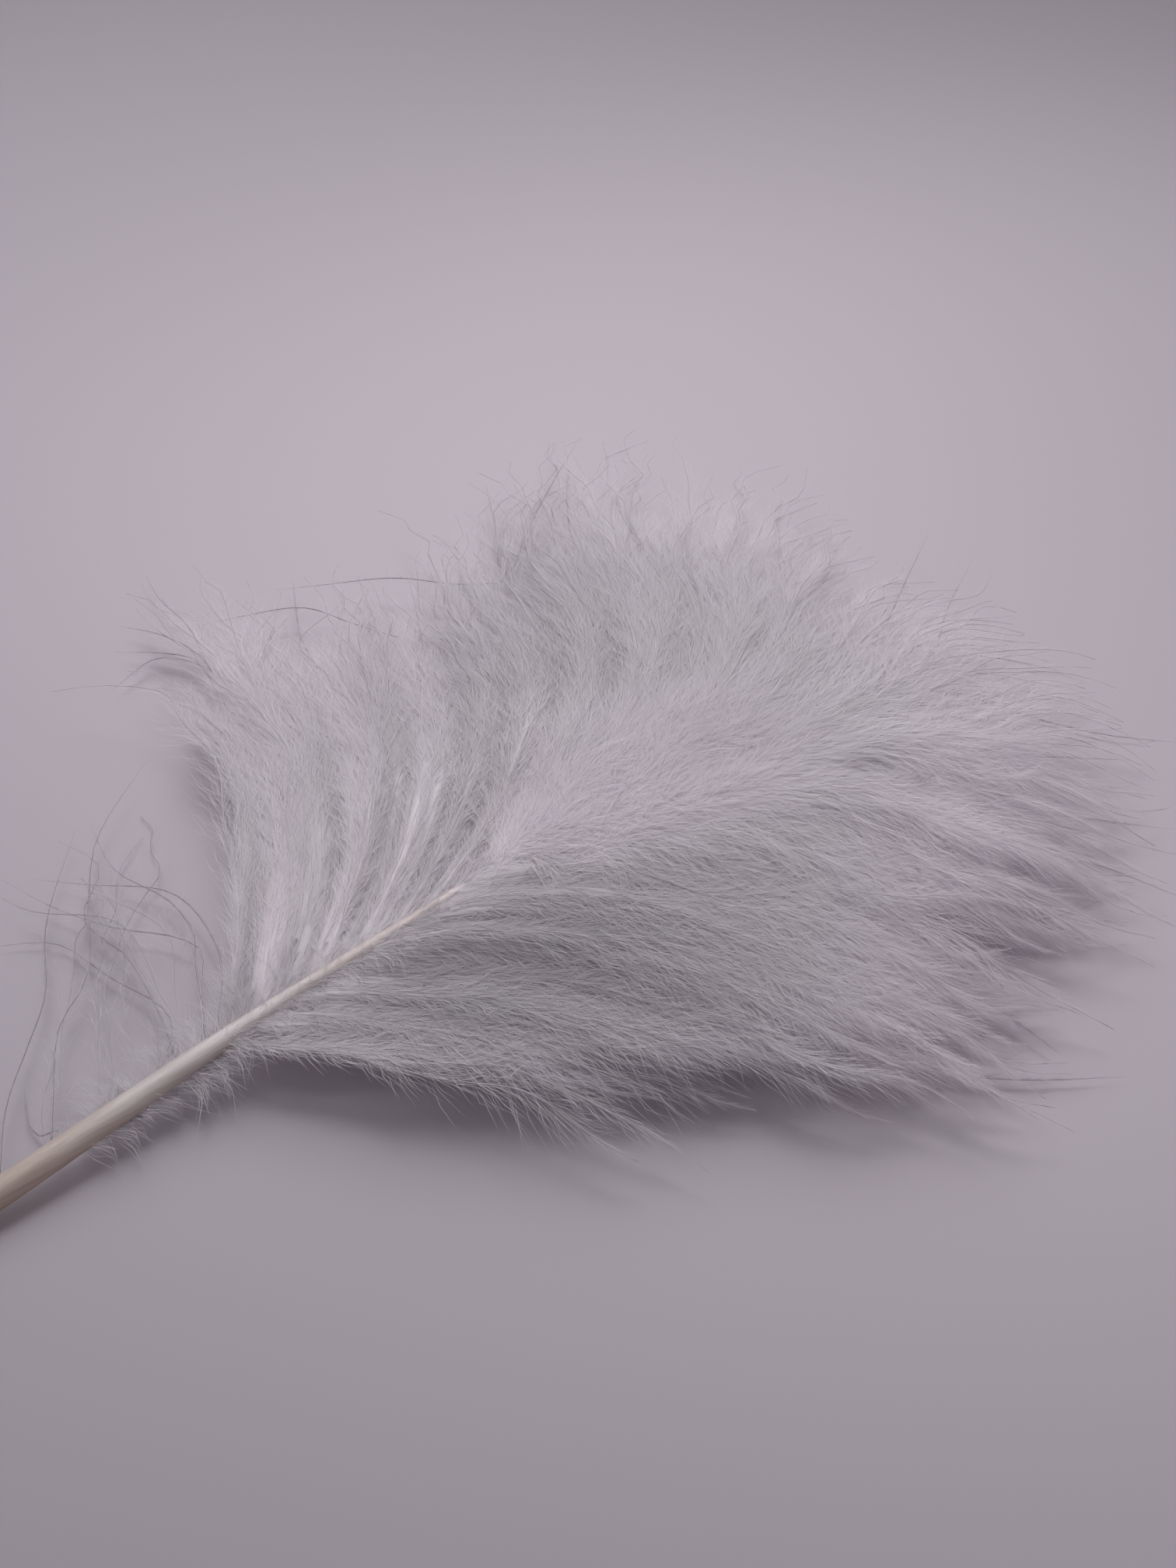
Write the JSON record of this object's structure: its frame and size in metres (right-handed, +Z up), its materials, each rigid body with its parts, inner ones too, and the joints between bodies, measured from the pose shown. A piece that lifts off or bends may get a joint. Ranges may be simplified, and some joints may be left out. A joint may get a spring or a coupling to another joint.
{
  "type": "marabou feather",
  "caption": "Loose white marabou plume lying flat: an ivory quill and tapering shaft with soft, fluffy down fanning out on both sides.",
  "frame": {"origin": "middle of the plume's box, on the surface that it lies on", "axes": "+X from the quill's end towards the plume's tip, +Y to the plume's left, +Z up from the surface to its outer side"},
  "size_m": [0.083, 0.0574, 0.0078],
  "materials": {
    "down": "soft matt white down",
    "shaft": "satin ivory horn, browner towards the quill's end"
  },
  "bodies": {
    "root": {"feather": "down"}
  },
  "joints": []
}
